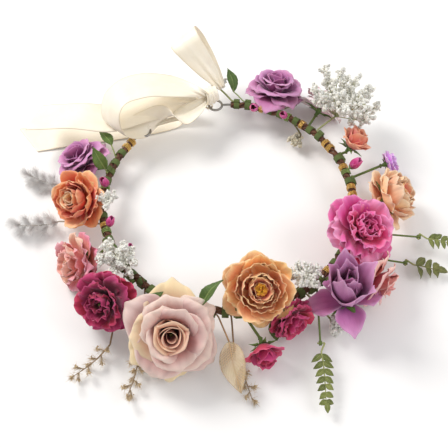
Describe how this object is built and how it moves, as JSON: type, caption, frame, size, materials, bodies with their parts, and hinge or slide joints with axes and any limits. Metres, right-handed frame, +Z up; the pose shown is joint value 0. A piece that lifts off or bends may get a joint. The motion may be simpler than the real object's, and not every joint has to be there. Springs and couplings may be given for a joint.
{
  "type": "flower crown",
  "caption": "Open hoop of wrapped vine carrying cloth roses, peonies, leaves and white sprays, closed at the back by a satin ribbon bow with two free tails.",
  "frame": {"origin": "centre of the hoop, in the plane of the hoop's centre line, where the wearer's head passes", "axes": "+Z up through the head opening with the crown lying flat, +Y towards the back of the crown where the hoop is open and the bow is tied, +X towards the crown's right as seen from the front"},
  "size_m": [0.3061, 0.3305, 0.0714],
  "materials": {
    "bud_magenta": "matt bud",
    "burgundy_cloth": "dyed cloth petal",
    "burgundy_deep": "dyed cloth petal",
    "coral_bud_cloth": "dyed cloth petal",
    "coral_cloth": "dyed cloth petal",
    "coral_heart": "dyed cloth petal",
    "cream_heart": "dyed cloth petal",
    "crimson_cloth": "dyed cloth petal",
    "crimson_deep": "dyed cloth petal",
    "dusty_cloth": "dyed cloth petal",
    "dusty_heart": "dyed cloth petal",
    "fern_green": "soft moulded fern",
    "floral_tape": "waxed paper tape",
    "gold_wire": "bright gold wire",
    "hot_pink_cloth": "dyed cloth petal",
    "hot_pink_deep": "dyed cloth petal",
    "lace_beige": "skeleton leaf lace",
    "leaf_green": "printed cloth leaf",
    "mauve_cloth": "dyed cloth petal",
    "mauve_deep": "dyed cloth petal",
    "orange_cloth": "dyed cloth petal",
    "pale_pink_cloth": "dyed cloth petal",
    "pale_pink_heart": "dyed cloth petal",
    "peach_cloth": "dyed cloth petal",
    "peach_light_cloth": "dyed cloth petal",
    "peach_pink_cloth": "dyed cloth petal",
    "pink_heart": "dyed cloth petal",
    "plume_grey": "dried plume",
    "rattan": "dark twisted rattan vine",
    "satin": "ivory satin ribbon",
    "sepal_green": "moulded calyx",
    "spray_cream": "foam floret",
    "spray_white": "foam floret",
    "sprig_tan": "dried sprig",
    "stamen_gold": "stamen heads",
    "steel_wire": "plain wire",
    "stem_green": "green covered wire",
    "violet_cloth": "dyed cloth petal"
  },
  "bodies": {
    "crown": {"hoop_wire": "steel_wire", "vine_wrap": "rattan", "gold_binding_wire": "gold_wire", "stem_tape": "floral_tape", "ribbon_band_left": "satin", "ribbon_band_right": "satin", "bow_knot": "satin", "bow_loop_large": "satin", "bow_loop_small": "satin", "mauve_rose_left_petals": "mauve_cloth", "mauve_rose_left_heart": "mauve_deep", "orange_ranunculus_petals": "orange_cloth", "orange_ranunculus_heart": "cream_heart", "peach_pink_rose_petals": "peach_pink_cloth", "peach_pink_rose_heart": "pink_heart", "burgundy_peony_petals": "burgundy_cloth", "burgundy_peony_heart": "burgundy_deep", "dusty_pink_rose_petals": "dusty_cloth", "dusty_pink_rose_heart": "dusty_heart", "peach_cabbage_rose_petals": "peach_cloth", "peach_cabbage_rose_heart": "stamen_gold", "crimson_rose_petals": "crimson_cloth", "crimson_rose_heart": "crimson_deep", "mauve_rose_front_petals": "mauve_cloth", "mauve_rose_front_heart": "mauve_deep", "coral_rose_petals": "coral_cloth", "coral_rose_heart": "coral_heart", "hot_pink_peony_petals": "hot_pink_cloth", "hot_pink_peony_heart": "hot_pink_deep", "peach_rose_right_petals": "peach_light_cloth", "peach_rose_right_heart": "cream_heart", "pale_pink_rose_petals": "pale_pink_cloth", "pale_pink_rose_heart": "pale_pink_heart", "mauve_rose_back_petals": "mauve_cloth", "mauve_rose_back_heart": "mauve_deep", "small_crimson_rose": "crimson_cloth", "coral_bud": "coral_bud_cloth", "violet_blossom": "violet_cloth", "flower_stems": "stem_green", "flower_sepals": "sepal_green", "magenta_buds": "bud_magenta", "green_leaves": "leaf_green", "spray_right": "spray_white", "spray_right_inner": "spray_cream", "spray_left": "spray_white", "spray_left_back": "spray_white", "spray_front": "spray_white", "spray_crimson": "spray_white", "spray_ribbon_end": "spray_white", "dried_plumes": "plume_grey", "dried_sprigs": "sprig_tan", "skeleton_leaf": "lace_beige"},
    "upper_tail": {"ribbon_tail_upper": "satin"},
    "lower_tail": {"ribbon_tail_lower": "satin"},
    "front_fern": {"fern_sprig_front": "fern_green"},
    "side_fern": {"fern_sprig_side": "fern_green"},
    "side_twig": {"leaf_twig_side": "leaf_green"}
  },
  "joints": [
    {"name": "upper_tail_swing", "type": "hinge", "parent": "crown", "child": "upper_tail", "pos_m": [0.019, 0.0985, 0.005], "axis": [0, 0, 1], "range_deg": [-75, 0]},
    {"name": "lower_tail_swing", "type": "hinge", "parent": "crown", "child": "lower_tail", "pos_m": [0.021, 0.104, 0], "axis": [0, 0, 1], "range_deg": [-70, 0]},
    {"name": "front_fern_bend", "type": "hinge", "parent": "crown", "child": "front_fern", "pos_m": [0.008, -0.133, -0.007], "axis": [-0.9272, 0.3746, 0], "range_deg": [-8, 30]},
    {"name": "side_fern_bend", "type": "hinge", "parent": "crown", "child": "side_fern", "pos_m": [0.118, -0.088, -0.008], "axis": [-0.6691, -0.7431, 0], "range_deg": [-20, 25]},
    {"name": "side_twig_bend", "type": "hinge", "parent": "crown", "child": "side_twig", "pos_m": [0.099, -0.101, -0.013], "axis": [-0.5878, -0.809, 0], "range_deg": [-10, 25]}
  ]
}
